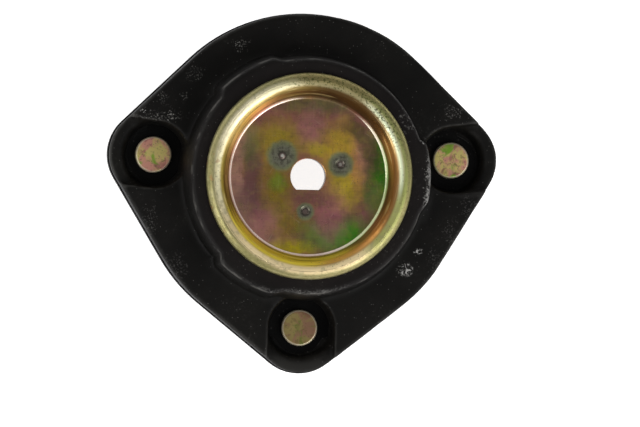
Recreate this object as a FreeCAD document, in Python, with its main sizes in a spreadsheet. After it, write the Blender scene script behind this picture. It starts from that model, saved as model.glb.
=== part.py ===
import FreeCAD, Part
import math
import os
import Sketcher

# Rear strut mount, seen from the spring side: a stamped plate with three press-in studs, a rubber
# moulding bonded over it, and two pressed dishes welded back to back round the rod's D hole.
# Millimetres. The origin is the rod seat: on the rod's axis, on the floor of the lower pan.
# +Z points to the spring, the studs point down, and the lower stud lies on -Y.

doc = FreeCAD.newDocument("StrutMount")
sheet = doc.addObject("Spreadsheet::Sheet", "Sizes")

SIZES = [
    ("stud_circle_radius", 53.4),   # all three studs, from the rod's axis
    ("side_stud_angle", 7.4),       # degrees of the side studs above the X axis
    ("outline_margin", 4.5),        # the outline's round part lies this far outside that circle
    ("tip_radius", 16.2),           # corner of the outline, about each stud
    ("plate_sheet", 3.0),           # mounting plate
    ("body_face_depth", 23.6),      # the car's face of the plate, below the rod seat
    ("stud_head_radius", 6.4),
    ("stud_head_height", 2.4),
    ("stud_head_round", 0.6),
    ("stud_thread_radius", 4.0),
    ("stud_collar_step", 0.6),      # the part pressed into the plate is this much larger
    ("stud_length", 24.0),          # past the car's face
    ("stud_tip_chamfer", 1.0),
    ("head_gap", 0.9),              # from a stud head to the foot of a lobe
    ("lobe_height", 1.9),           # grip lobes stand out of the collar
    ("lobe_span", 38.0),            # degrees that one lobe covers
    ("lobe_start", 0.8),            # degrees of the first lobe's middle
    ("lobe_count", 3),
    ("collar_lean", 3.0),           # the collar's foot on the plate is this much wider than its top
    ("collar_round", 1.4),          # top edge of the collar
    ("collar_rubber", 2.6),         # rubber outside the hat, at the collar's top
    ("collar_ledge", 4.8),          # top of the collar, outside the pan's rim
    ("hat_top_width", 6.0),         # flat top of the hat and its shoulder
    ("hat_top_height", 0.3),        # top of the hat, above the rod seat
    ("hat_bend", 3.6),              # bend at the hat's shoulder
    ("hat_foot_bend", 3.0),         # bend where the hat meets the plate
    ("rubber_step", 0.35),          # the rubber stops this much inside the plate's outline
    ("flange_rubber", 8.6),         # rubber over the plate, the spring's seat
    ("flange_round", 1.0),          # its outer edge
    ("lining", 1.6),                # rubber inside the hat
    ("lining_round", 0.7),
    ("head_room", 5.6),             # from a stud head to the side of its pocket
    ("pocket_reach", 4.7),          # the pocket's straight sides run this far past the stud
    ("well_inset", 1.7),            # the deep part is narrower than the pocket at its outer end
    ("land_depth", 2.8),            # shallow floor that leads out to the tip
    ("land_round", 1.6),            # between the land and the deep part
    ("pocket_draft", 10.0),         # degrees
    ("dish_sheet", 2.2),            # both dishes
    ("pan_depth", 6.4),             # floor to crest
    ("pan_wall_run", 3.8),          # the wall leans out this much over that depth
    ("pan_crest_width", 5.4),       # from the wall's top to the outside of the rim
    ("pan_floor_bend", 1.5),
    ("pan_crest_bend", 4.4),
    ("pan_rim_bend", 2.8),
    ("pan_rim_drop", 3.4),          # crest to the edge of the turned-down rim
    ("upper_step", 1.2),            # the upper dish's floor is this much larger than the pan's
    ("upper_depth", 6.2),
    ("upper_wall_run", 2.0),
    ("upper_bend", 1.5),
    ("upper_rim_width", 2.8),
    ("rod_hole_radius", 6.25),
    ("rod_flat_distance", 4.7),     # axis to the flat of the D
    ("weld_circle_radius", 12.1),
    ("weld_start", 23.5),           # degrees of the first weld
    ("weld_count", 3),
    ("weld_dimple_radius", 1.4),
    ("weld_dimple_depth", 0.6),
]
for row, (alias, value) in enumerate(SIZES, start=1):
    sheet.set("A%d" % row, alias)
    sheet.set("B%d" % row, str(value))
    sheet.setAlias("B%d" % row, alias)
doc.recompute()


# Radii that follow from the stud circle inwards, as expressions for the sheet.
OUTLINE_RADIUS = "(Sizes.stud_circle_radius + Sizes.outline_margin)"
STUD_COLLAR = "(Sizes.stud_thread_radius + Sizes.stud_collar_step)"
POCKET_RADIUS = "(Sizes.stud_head_radius + Sizes.head_room)"
WELL_RADIUS = f"({POCKET_RADIUS} - Sizes.well_inset)"
LOBE_BASE = "(Sizes.stud_circle_radius - Sizes.stud_head_radius - Sizes.head_gap)"
COLLAR_BASE = f"({LOBE_BASE} - Sizes.lobe_height)"
COLLAR_RADIUS = f"({COLLAR_BASE} - Sizes.collar_lean)"
HAT_RADIUS = f"({COLLAR_RADIUS} - Sizes.collar_rubber)"
HAT_LIP = f"({HAT_RADIUS} - Sizes.hat_top_width)"
PAN_RIM = f"({COLLAR_RADIUS} - Sizes.collar_ledge)"
PAN_WALL_TOP = f"({PAN_RIM} - Sizes.pan_crest_width)"
PAN_FLOOR = f"({PAN_WALL_TOP} - Sizes.pan_wall_run)"
UPPER_FLOOR = f"({PAN_FLOOR} + Sizes.upper_step)"
UPPER_WALL = f"({UPPER_FLOOR} + Sizes.upper_wall_run)"
UPPER_RIM_RADIUS = f"({UPPER_WALL} + Sizes.upper_rim_width)"

# Heights, and how far a sheet's other side moves where its wall leans.
BODY_FACE = "-Sizes.body_face_depth"
PLATE_TOP = "(Sizes.plate_sheet - Sizes.body_face_depth)"
SEAT = "(Sizes.plate_sheet + Sizes.flange_rubber - Sizes.body_face_depth)"
HAT_TOP = "Sizes.hat_top_height"
COLLAR_TOP = "(Sizes.pan_depth - Sizes.pan_rim_drop)"
PAN_ANGLE = "atan2(Sizes.pan_depth; Sizes.pan_wall_run)"
PAN_SHIFT = f"(Sizes.dish_sheet * tan({PAN_ANGLE} / 2))"
WELD_PLANE = "-Sizes.dish_sheet"
UPPER_ANGLE = "atan2(Sizes.upper_depth; Sizes.upper_wall_run)"
UPPER_SHIFT = f"(Sizes.dish_sheet * tan({UPPER_ANGLE} / 2))"
UPPER_RIM = f"({WELD_PLANE} - Sizes.upper_depth)"
STUD_ANGLES = {
    "stud_left": "(180 - Sizes.side_stud_angle)",
    "stud_right": "Sizes.side_stud_angle",
    "stud_lower": "270",
}


def number(expression):
    """The present value of an expression, to start a sketch near its solution."""
    result = sheet.evalExpression(expression)
    return float(getattr(result, "Value", result))


def new_sketch(body, name, plane, height=None, turn=None):
    """A sketch on one of the body's own origin planes, raised and turned by expressions."""
    sketch = body.newObject("Sketcher::SketchObject", name)
    features = body.Origin.OriginFeatures
    sketch.AttachmentSupport = [(next(f for f in features if f.Role == plane), "")]
    sketch.MapMode = "FlatFace"
    if height is not None:
        sketch.setExpression("AttachmentOffset.Base.z", height)
    if turn is not None:
        sketch.setExpression("AttachmentOffset.Rotation.Angle", turn)
    return sketch


def pin_point(sketch, geometry, end, x, y):
    """Ties one point of a sketch to two expressions."""
    for axis, line, expression in (("DistanceX", -2, x), ("DistanceY", -1, y)):
        if expression == "0":
            sketch.addConstraint(Sketcher.Constraint("PointOnObject", geometry, end, line))
            continue
        made = sketch.addConstraint(
            Sketcher.Constraint(axis, -1, 1, geometry, end, number(expression))
        )
        sketch.setExpression(f"Constraints[{made}]", expression)


def draw_profile(sketch, corners):
    """A closed outline of straight runs. A corner is (x, y) or (x, y, radius of its round)."""
    count = len(corners)
    points = [FreeCAD.Vector(number(c[0]), number(c[1]), 0) for c in corners]
    ends = []
    for i, corner in enumerate(corners):
        here = points[i]
        back = (points[i - 1] - here).normalize()
        ahead = (points[(i + 1) % count] - here).normalize()
        if len(corner) < 3:
            ends.append((here, here))
            continue
        half = back.getAngle(ahead) / 2
        reach = number(corner[2]) / math.tan(half)
        ends.append((here + back * reach, here + ahead * reach))
    lines = []
    for i in range(count):
        run = Part.LineSegment(ends[i][1], ends[(i + 1) % count][0])
        lines.append(sketch.addGeometry(run, False))
    for i, corner in enumerate(corners):
        before, after = lines[i - 1], lines[i]
        if len(corner) < 3:
            sketch.addConstraint(Sketcher.Constraint("Coincident", before, 2, after, 1))
            pin_point(sketch, after, 1, corner[0], corner[1])
            continue
        round_corner(sketch, before, after, points[i], ends[i], corner)


def round_corner(sketch, before, after, here, ends, corner):
    """Joins two runs by an arc, and ties their meeting point and the arc's radius."""
    radius = number(corner[2])
    middle_way = ((ends[0] - here) + (ends[1] - here)).normalize()
    far = math.hypot(radius, (ends[0] - here).Length)
    centre = here + middle_way * far
    start, stop = [math.atan2(p.y - centre.y, p.x - centre.x) for p in ends]
    forward = (stop - start) % (2 * math.pi) < math.pi
    if not forward:
        start, stop = stop, start
    circle = Part.Circle(centre, FreeCAD.Vector(0, 0, 1), radius)
    arc = sketch.addGeometry(Part.ArcOfCircle(circle, start, stop), False)
    first, last = (1, 2) if forward else (2, 1)
    sketch.addConstraint(Sketcher.Constraint("Tangent", before, 2, arc, first))
    sketch.addConstraint(Sketcher.Constraint("Tangent", arc, last, after, 1))
    made = sketch.addConstraint(Sketcher.Constraint("Radius", arc, radius))
    sketch.setExpression(f"Constraints[{made}]", corner[2])
    corner_point = sketch.addGeometry(Part.Point(here), True)
    pin_point(sketch, corner_point, 1, corner[0], corner[1])
    for line in (before, after):
        sketch.addConstraint(Sketcher.Constraint("PointOnObject", corner_point, 1, line))


def draw_circle(sketch, x, y, radius):
    centre = FreeCAD.Vector(number(x), number(y), 0)
    circle = Part.Circle(centre, FreeCAD.Vector(0, 0, 1), number(radius))
    made = sketch.addGeometry(circle, False)
    pin_point(sketch, made, 3, x, y)
    size_rule = sketch.addConstraint(Sketcher.Constraint("Radius", made, number(radius)))
    sketch.setExpression(f"Constraints[{size_rule}]", radius)


def draw_outline(sketch, inset):
    """The mount's outline: arcs about the axis and about the studs, joined by tangent runs."""
    base = f"({OUTLINE_RADIUS} - {inset})"
    tip = f"(Sizes.tip_radius - {inset})"
    big, small = number(base), number(tip)
    far = number("Sizes.stud_circle_radius")
    spread = math.acos((big - small) / far)
    angles = sorted(math.radians(number(a)) for a in STUD_ANGLES.values())
    names = sorted(STUD_ANGLES.values(), key=number)
    arcs = []
    for i, angle in enumerate(angles):
        centre = FreeCAD.Vector(far * math.cos(angle), far * math.sin(angle), 0)
        circle = Part.Circle(centre, FreeCAD.Vector(0, 0, 1), small)
        arcs.append((circle, angle - spread, angle + spread, names[i]))
        after = angles[(i + 1) % 3] + (2 * math.pi if i == 2 else 0)
        circle = Part.Circle(FreeCAD.Vector(0, 0, 0), FreeCAD.Vector(0, 0, 1), big)
        arcs.append((circle, angle + spread, after - spread, None))
    made = [sketch.addGeometry(Part.ArcOfCircle(c, a, b), False) for c, a, b, _ in arcs]
    for i, arc in enumerate(made):
        follower = made[(i + 1) % len(made)]
        leave, arrive = [sketch.Geometry[arc].EndPoint, sketch.Geometry[follower].StartPoint]
        run = sketch.addGeometry(Part.LineSegment(leave, arrive), False)
        sketch.addConstraint(Sketcher.Constraint("Tangent", arc, 2, run, 1))
        sketch.addConstraint(Sketcher.Constraint("Tangent", run, 2, follower, 1))
        name = arcs[i][3]
        rule = sketch.addConstraint(Sketcher.Constraint("Radius", arc, arcs[i][0].Radius))
        sketch.setExpression(f"Constraints[{rule}]", tip if name else base)
        if name:
            x = f"Sizes.stud_circle_radius * cos({name} * 1 deg)"
            y = f"Sizes.stud_circle_radius * sin({name} * 1 deg)"
            pin_point(sketch, arc, 3, "0" if name == "270" else x, y)
        else:
            sketch.addConstraint(Sketcher.Constraint("Coincident", arc, 3, -1, 1))


def draw_d_hole(sketch):
    """A round hole with one flat, on the -Y side."""
    radius, flat = number("Sizes.rod_hole_radius"), number("Sizes.rod_flat_distance")
    dip = math.asin(flat / radius)
    circle = Part.Circle(FreeCAD.Vector(0, 0, 0), FreeCAD.Vector(0, 0, 1), radius)
    arc = sketch.addGeometry(Part.ArcOfCircle(circle, -dip, math.pi + dip), False)
    ends = [sketch.Geometry[arc].EndPoint, sketch.Geometry[arc].StartPoint]
    chord = sketch.addGeometry(Part.LineSegment(*ends), False)
    sketch.addConstraint(Sketcher.Constraint("Coincident", arc, 3, -1, 1))
    sketch.addConstraint(Sketcher.Constraint("Coincident", arc, 2, chord, 1))
    sketch.addConstraint(Sketcher.Constraint("Coincident", chord, 2, arc, 1))
    sketch.addConstraint(Sketcher.Constraint("Horizontal", chord))
    round_rule = sketch.addConstraint(Sketcher.Constraint("Radius", arc, radius))
    sketch.setExpression(f"Constraints[{round_rule}]", "Sizes.rod_hole_radius")
    flat_rule = sketch.addConstraint(Sketcher.Constraint("DistanceY", -1, 1, chord, 1, -flat))
    sketch.setExpression(f"Constraints[{flat_rule}]", "-Sizes.rod_flat_distance")


def finish(feature):
    feature.Document.recompute()
    return feature


def turn_round(body, name, corners, angle=None, turn=None):
    """Revolves a profile, drawn in the XZ plane, about the body's Z axis."""
    sketch = new_sketch(body, name + "_sketch", "XZ_Plane")
    if turn is not None:
        about_z = FreeCAD.Rotation(FreeCAD.Vector(0, 1, 0), number(turn))
        sketch.AttachmentOffset = FreeCAD.Placement(FreeCAD.Vector(), about_z)
        sketch.setExpression("AttachmentOffset.Rotation.Angle", turn)
    draw_profile(sketch, corners)
    feature = body.newObject("PartDesign::Revolution", name)
    feature.Profile = sketch
    feature.ReferenceAxis = (sketch, ["V_Axis"])
    feature.Angle = 360
    if angle is not None:
        feature.Midplane = True
        feature.setExpression("Angle", angle)
    return finish(feature)


def pad_up(body, sketch, name, length):
    feature = body.newObject("PartDesign::Pad", name)
    feature.Profile = sketch
    feature.setExpression("Length", length)
    return finish(feature)


def cut_down(body, sketch, name, length, taper=None):
    """Cuts from the sketch towards -Z, and makes sure that it took something away."""
    before = body.Shape.Volume
    feature = body.newObject("PartDesign::Pocket", name)
    feature.Profile = sketch
    feature.setExpression("Length", length)
    if taper is not None:
        feature.setExpression("TaperAngle", taper)
    finish(feature)
    if body.Shape.Volume > before - 0.01:
        raise RuntimeError(name + " cuts nothing")
    return feature


def repeat_round(body, feature, name, axis, count):
    """Copies a feature round the axis of its own sketch."""
    pattern = body.newObject("PartDesign::PolarPattern", name)
    pattern.Originals = [feature]
    pattern.Axis = (feature.Profile[0], [axis])
    pattern.Angle = 360
    pattern.setExpression("Occurrences", count)
    body.Tip = pattern
    return finish(pattern)


def round_edges(body, name, radius, chosen):
    """Rounds the edges of the body's last feature that a test picks out."""
    base = body.Tip
    names = ["Edge%d" % (i + 1) for i, edge in enumerate(base.Shape.Edges) if chosen(edge)]
    if not names:
        raise RuntimeError(name + " finds no edge")
    feature = body.newObject("PartDesign::Fillet", name)
    feature.Base = (base, names)
    feature.setExpression("Radius", radius)
    return finish(feature)


def lies_at(edge, height):
    """True of an edge that runs level at this height."""
    box = edge.BoundBox
    return abs(box.ZMin - height) < 0.01 and abs(box.ZMax - height) < 0.01


def new_body(name):
    body = doc.addObject("PartDesign::Body", name)
    body.Label = name
    return body


# Mounting plate: steel sheet with a drawn hat, trimmed to the outline and pierced for the studs.
def make_mounting_plate():
    body = new_body("plate_blank")
    blank_radius = "(Sizes.stud_circle_radius + Sizes.tip_radius + 4)"
    thick = "Sizes.plate_sheet"
    turn_round(body, "drawn_hat", [
        (HAT_LIP, HAT_TOP),
        (HAT_RADIUS, HAT_TOP, "Sizes.hat_bend"),
        (HAT_RADIUS, PLATE_TOP, "Sizes.hat_foot_bend"),
        (blank_radius, PLATE_TOP),
        (blank_radius, BODY_FACE),
        (f"{HAT_RADIUS} - {thick}", BODY_FACE, f"Sizes.hat_foot_bend + {thick}"),
        (f"{HAT_RADIUS} - {thick}", f"{HAT_TOP} - {thick}", f"Sizes.hat_bend - {thick}"),
        (HAT_LIP, f"{HAT_TOP} - {thick}"),
    ])
    holes = new_sketch(body, "stud_holes_sketch", "XY_Plane", height=PLATE_TOP)
    for angle in STUD_ANGLES.values():
        x = f"Sizes.stud_circle_radius * cos({angle} * 1 deg)"
        y = f"Sizes.stud_circle_radius * sin({angle} * 1 deg)"
        draw_circle(holes, "0" if angle == "270" else x, y, STUD_COLLAR)
    cut_down(body, holes, "stud_holes", thick)
    outline = new_body("plate_outline")
    trim = new_sketch(outline, "plate_outline_sketch", "XY_Plane", height=BODY_FACE)
    draw_outline(trim, "0")
    pad_up(outline, trim, "plate_outline_pad", f"Sizes.body_face_depth + {COLLAR_TOP}")
    plate = doc.addObject("Part::Common", "mounting_plate_trim")
    plate.Base = outline
    plate.Tool = body
    return finish(plate)


# Studs: forged head with a rounded edge, a collar pressed into the plate, and a threaded shank.
def make_stud(name, angle):
    body = new_body(name)
    end = "(-Sizes.plate_sheet - Sizes.stud_length)"
    tip = "(Sizes.stud_thread_radius - Sizes.stud_tip_chamfer)"
    turn_round(body, name + "_turned", [
        ("0", "Sizes.stud_head_height"),
        ("Sizes.stud_head_radius", "Sizes.stud_head_height", "Sizes.stud_head_round"),
        ("Sizes.stud_head_radius", "0"),
        (STUD_COLLAR, "0"),
        (STUD_COLLAR, "-Sizes.plate_sheet"),
        ("Sizes.stud_thread_radius", "-Sizes.plate_sheet"),
        ("Sizes.stud_thread_radius", f"{end} + Sizes.stud_tip_chamfer"),
        (tip, end),
        ("0", end),
    ])
    body.setExpression("Placement.Base.x", f"Sizes.stud_circle_radius * cos({angle} * 1 deg)")
    body.setExpression("Placement.Base.y", f"Sizes.stud_circle_radius * sin({angle} * 1 deg)")
    body.setExpression("Placement.Base.z", PLATE_TOP)
    return body


# Lower pan: flat floor, leaning wall and a rolled rim whose edge is turned down on the rubber.
def make_lower_pan():
    body = new_body("lower_pan")
    thick = "Sizes.dish_sheet"
    turn_round(body, "pan_pressing", [
        ("0", "0"),
        (PAN_FLOOR, "0", "Sizes.pan_floor_bend"),
        (PAN_WALL_TOP, "Sizes.pan_depth", "Sizes.pan_crest_bend"),
        (PAN_RIM, "Sizes.pan_depth", "Sizes.pan_rim_bend"),
        (PAN_RIM, COLLAR_TOP),
        (f"{PAN_RIM} - {thick}", COLLAR_TOP),
        (f"{PAN_RIM} - {thick}", f"Sizes.pan_depth - {thick}", f"Sizes.pan_rim_bend - {thick}"),
        (f"{PAN_WALL_TOP} + {PAN_SHIFT}", f"Sizes.pan_depth - {thick}",
         f"Sizes.pan_crest_bend - {thick}"),
        (f"{PAN_FLOOR} + {PAN_SHIFT}", WELD_PLANE, f"Sizes.pan_floor_bend + {thick}"),
        ("0", WELD_PLANE),
    ])
    hole = new_sketch(body, "pan_rod_hole_sketch", "XY_Plane")
    draw_d_hole(hole)
    cut_down(body, hole, "pan_rod_hole", thick)
    dimple = new_sketch(body, "weld_dimple_sketch", "XY_Plane", turn="Sizes.weld_start")
    draw_circle(dimple, "Sizes.weld_circle_radius", "0", "Sizes.weld_dimple_radius")
    first = cut_down(body, dimple, "weld_dimple", "Sizes.weld_dimple_depth", taper="-30")
    repeat_round(body, first, "weld_dimples", "N_Axis", "Sizes.weld_count")
    return body


# Upper dish: the pan's partner on the car's side, welded to its floor, with a plain flat rim.
def make_upper_dish():
    body = new_body("upper_dish")
    thick = "Sizes.dish_sheet"
    turn_round(body, "dish_pressing", [
        ("0", WELD_PLANE),
        (UPPER_FLOOR, WELD_PLANE, f"Sizes.upper_bend + {thick}"),
        (UPPER_WALL, UPPER_RIM, "Sizes.upper_bend"),
        (UPPER_RIM_RADIUS, UPPER_RIM),
        (UPPER_RIM_RADIUS, f"{UPPER_RIM} - {thick}"),
        (f"{UPPER_WALL} - {UPPER_SHIFT}", f"{UPPER_RIM} - {thick}",
         f"Sizes.upper_bend + {thick}"),
        (f"{UPPER_FLOOR} - {UPPER_SHIFT}", f"{WELD_PLANE} - {thick}",
         "Sizes.upper_bend"),
        ("0", f"{WELD_PLANE} - {thick}"),
    ])
    hole = new_sketch(body, "dish_rod_hole_sketch", "XY_Plane", height=WELD_PLANE)
    draw_d_hole(hole)
    cut_down(body, hole, "dish_rod_hole", thick)
    return body


# Pocket round one stud head: a shallow land open to the tip, then the deep well.
def cut_pocket(body, name, angle):
    beyond = "(Sizes.tip_radius + 4)"
    middle = "Sizes.stud_circle_radius"
    land = new_sketch(body, name + "_land_sketch", "XY_Plane", height=SEAT, turn=angle)
    draw_profile(land, [
        (middle, f"-{POCKET_RADIUS}"),
        (f"{middle} + {beyond}", f"-{POCKET_RADIUS}"),
        (f"{middle} + {beyond}", POCKET_RADIUS),
        (middle, POCKET_RADIUS),
    ])
    cut_down(body, land, name + "_land", "Sizes.land_depth", taper="-Sizes.pocket_draft")
    well = new_sketch(body, name + "_well_sketch", "XY_Plane", height=SEAT, turn=angle)
    draw_well(well)
    cut_down(body, well, name + "_well", "Sizes.flange_rubber", taper="-Sizes.pocket_draft")
    turn_back = FreeCAD.Rotation(FreeCAD.Vector(0, 0, 1), -number(angle))
    floor = number(f"{SEAT} - Sizes.land_depth")
    inner = number(f"{middle} + Sizes.pocket_reach - 1")
    outer = number(f"{middle} + {WELL_RADIUS}")
    wide = number(f"{POCKET_RADIUS} - 2 * Sizes.land_depth * tan(Sizes.pocket_draft * 1 deg)")

    def is_well_rim(edge):
        spot = turn_back.multVec(edge.CenterOfMass)
        return lies_at(edge, floor) and inner < spot.x < outer and abs(spot.y) < wide

    round_edges(body, name + "_land_round", "Sizes.land_round", is_well_rim)


def draw_well(sketch):
    """A half circle towards the axis, straight sides, and a smaller arc towards the tip."""
    middle, wide = number("Sizes.stud_circle_radius"), number(POCKET_RADIUS)
    reach, small = number("Sizes.pocket_reach"), number(WELL_RADIUS)
    up, centre = FreeCAD.Vector(0, 0, 1), FreeCAD.Vector(middle, 0, 0)
    opening = math.acos(reach / small)
    back = Part.ArcOfCircle(Part.Circle(centre, up, wide), math.pi / 2, 3 * math.pi / 2)
    front = Part.ArcOfCircle(Part.Circle(centre, up, small), -opening, opening)
    back, front = sketch.addGeometry(back, False), sketch.addGeometry(front, False)
    far = middle + reach
    shoulder = small * math.sin(opening)
    stops = [(middle, -wide), (far, -wide), (far, -shoulder)]
    runs = []
    for side in (1, -1):
        points = [FreeCAD.Vector(x, side * y, 0) for x, y in stops]
        runs.append([
            sketch.addGeometry(Part.LineSegment(a, b), False) for a, b in zip(points, points[1:])
        ])
    for arc in (back, front):
        pin_point(sketch, arc, 3, "Sizes.stud_circle_radius", "0")
    for arc, radius in ((back, POCKET_RADIUS), (front, WELL_RADIUS)):
        rule = sketch.addConstraint(Sketcher.Constraint("Radius", arc, number(radius)))
        sketch.setExpression(f"Constraints[{rule}]", radius)
    for (side_run, end_run), back_end, front_end in ((runs[0], 2, 1), (runs[1], 1, 2)):
        sketch.addConstraint(Sketcher.Constraint("Tangent", back, back_end, side_run, 1))
        sketch.addConstraint(Sketcher.Constraint("Coincident", side_run, 2, end_run, 1))
        sketch.addConstraint(Sketcher.Constraint("Coincident", end_run, 2, front, front_end))
        sketch.addConstraint(Sketcher.Constraint("Horizontal", side_run))
        sketch.addConstraint(Sketcher.Constraint("Vertical", end_run))
        rule = sketch.addConstraint(Sketcher.Constraint("DistanceX", -1, 1, side_run, 2, far))
        sketch.setExpression(
            f"Constraints[{rule}]", "Sizes.stud_circle_radius + Sizes.pocket_reach"
        )


# Rubber body: seat flange with pockets, collar with grip lobes, and the lining inside the hat.
def make_rubber_body(plate):
    body = new_body("rubber_moulding")
    flange = new_sketch(body, "seat_flange_sketch", "XY_Plane", height=PLATE_TOP)
    draw_outline(flange, "Sizes.rubber_step")
    pad_up(body, flange, "seat_flange", "Sizes.flange_rubber")
    seat = number(SEAT)
    round_edges(body, "seat_edge", "Sizes.flange_round", lambda edge: lies_at(edge, seat))
    passage = new_sketch(body, "hat_passage_sketch", "XY_Plane", height=SEAT)
    draw_circle(passage, "0", "0", f"{HAT_RADIUS} - Sizes.plate_sheet / 2")
    cut_down(body, passage, "hat_passage", "Sizes.flange_rubber")
    for name, angle in STUD_ANGLES.items():
        cut_pocket(body, name, angle)
    wall_at_top = f"({COLLAR_TOP} + Sizes.dish_sheet) * Sizes.pan_wall_run / Sizes.pan_depth"
    inside_hat = f"({HAT_RADIUS} - Sizes.plate_sheet - Sizes.lining)"
    in_sheet = f"({HAT_RADIUS} - Sizes.plate_sheet / 2)"
    turn_round(body, "collar", [
        (f"{PAN_FLOOR} + {PAN_SHIFT} + {wall_at_top}", COLLAR_TOP),
        (COLLAR_RADIUS, COLLAR_TOP, "Sizes.collar_round"),
        (COLLAR_BASE, PLATE_TOP),
        (in_sheet, PLATE_TOP),
        (inside_hat, PLATE_TOP, "Sizes.lining_round"),
        (inside_hat, UPPER_RIM, "Sizes.lining_round"),
        (UPPER_WALL, UPPER_RIM, "Sizes.upper_bend"),
        (f"{PAN_FLOOR} + {PAN_SHIFT}", WELD_PLANE),
    ])
    lobe = turn_round(body, "grip_lobe", [
        (HAT_RADIUS, COLLAR_TOP),
        (f"{COLLAR_RADIUS} + Sizes.lobe_height", COLLAR_TOP, "Sizes.collar_round"),
        (LOBE_BASE, PLATE_TOP),
        (HAT_RADIUS, PLATE_TOP),
    ], angle="Sizes.lobe_span", turn="Sizes.lobe_start")
    repeat_round(body, lobe, "grip_lobes", "V_Axis", "Sizes.lobe_count")
    rubber = doc.addObject("Part::Cut", "rubber_body_bond")
    rubber.Base = body
    rubber.Tool = plate
    return finish(rubber)


plate = make_mounting_plate()
parts = {
    "mounting_plate": plate,
    "rubber_body": make_rubber_body(plate),
    "lower_pan": make_lower_pan(),
    "upper_dish": make_upper_dish(),
}
for stud_name, stud_angle in STUD_ANGLES.items():
    parts[stud_name] = make_stud(stud_name, stud_angle)
doc.recompute()

for item in doc.Objects:
    if "Invalid" in item.State or "Error" in item.State:
        raise RuntimeError(item.Name + " failed")
os.makedirs("parts", exist_ok=True)
for label, item in parts.items():
    shape = item.Shape
    if shape.isNull() or not shape.isValid() or len(shape.Solids) != 1:
        raise RuntimeError(label + " isn't one valid solid")
    item.Label = label
    shape.exportStep("parts/" + label + ".step")
    print(label, round(shape.Volume / 1000, 2), "cm3", len(shape.Faces), "faces")
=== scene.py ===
import math

import bmesh
import bpy
import numpy as np
from mathutils import Matrix, Vector, noise


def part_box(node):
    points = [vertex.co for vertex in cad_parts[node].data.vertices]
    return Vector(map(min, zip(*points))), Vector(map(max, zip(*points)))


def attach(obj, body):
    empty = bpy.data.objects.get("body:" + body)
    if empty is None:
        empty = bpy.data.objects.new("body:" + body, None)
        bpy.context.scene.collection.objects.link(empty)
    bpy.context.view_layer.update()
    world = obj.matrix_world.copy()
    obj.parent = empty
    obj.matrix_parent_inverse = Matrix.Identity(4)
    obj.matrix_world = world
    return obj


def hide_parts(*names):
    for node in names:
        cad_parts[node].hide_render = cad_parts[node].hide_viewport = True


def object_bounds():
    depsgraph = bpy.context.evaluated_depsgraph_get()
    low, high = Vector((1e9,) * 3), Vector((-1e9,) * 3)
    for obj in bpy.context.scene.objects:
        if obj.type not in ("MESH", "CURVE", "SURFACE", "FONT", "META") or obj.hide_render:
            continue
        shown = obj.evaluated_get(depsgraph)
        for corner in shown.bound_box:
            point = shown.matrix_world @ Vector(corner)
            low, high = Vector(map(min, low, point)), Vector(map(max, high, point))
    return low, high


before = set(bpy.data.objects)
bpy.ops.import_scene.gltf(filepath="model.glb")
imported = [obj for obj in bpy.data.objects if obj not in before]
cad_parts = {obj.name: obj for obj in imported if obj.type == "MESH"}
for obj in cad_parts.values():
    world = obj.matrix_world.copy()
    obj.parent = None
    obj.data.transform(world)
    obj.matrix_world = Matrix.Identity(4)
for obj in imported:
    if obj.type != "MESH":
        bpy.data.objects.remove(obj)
cad_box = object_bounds()
scene = bpy.context.scene
scene.view_settings.view_transform = "Standard"


# Camera: far above the spring's side, a little to the left of the rod's axis, so that the side
# walls on the left show. The part lies on its three stud ends with the lower stud towards us.
IMAGE_WIDTH = 640
IMAGE_HEIGHT = 427
SENSOR = 0.036
PIXELS_PER_METRE = 2846.0
AXIS_PIXEL = (308.2, 176.4)
camera_away = 2.6
camera_tilt = math.radians(6.7)
camera_lean = math.radians(0.45)
camera_roll = math.radians(-1.04)

camera_data = bpy.data.cameras.new("camera")
camera_data.sensor_width = SENSOR * 1000
camera_data.lens = PIXELS_PER_METRE * camera_away / IMAGE_WIDTH * SENSOR * 1000
camera_data.clip_start = 0.05
camera_data.clip_end = 20
camera = bpy.data.objects.new("camera", camera_data)
scene.collection.objects.link(camera)
scene.camera = camera
look_back = Vector((-math.sin(camera_tilt), -math.sin(camera_lean), math.cos(camera_tilt))).normalized()
level_right = Vector((0, 1, 0)).cross(look_back).normalized()
turn_view = Matrix.Rotation(-camera_roll, 3, look_back)
view_right = turn_view @ level_right
view_up = look_back.cross(view_right)
aim = (view_right * (IMAGE_WIDTH / 2 - AXIS_PIXEL[0])
       - view_up * (IMAGE_HEIGHT / 2 - AXIS_PIXEL[1])) / PIXELS_PER_METRE
pose = Matrix((view_right, view_up, look_back)).transposed().to_4x4()
pose.translation = aim + look_back * camera_away
camera.matrix_world = pose


# Studio: a wide white floor under the stud ends, and large soft lamps. The floor shows white to
# the camera and in reflections, and still takes the part's shadow.
def node_maker(tree):
    """Returns a short call that adds a node, sets or links its inputs and gives it back."""
    def make(kind, inputs=(), **settings):
        node = tree.nodes.new(kind)
        for name, value in settings.items():
            setattr(node, name, value)
        for key, value in dict(inputs).items():
            if isinstance(value, bpy.types.NodeSocket):
                tree.links.new(value, node.inputs[key])
            else:
                node.inputs[key].default_value = value
        return node
    return make


def new_material(name):
    material = bpy.data.materials.new(name)
    material.use_nodes = True
    material.node_tree.nodes.clear()
    return material, node_maker(material.node_tree)


def show(make, shader, material):
    make("ShaderNodeOutputMaterial", {"Surface": shader})
    return material


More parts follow.
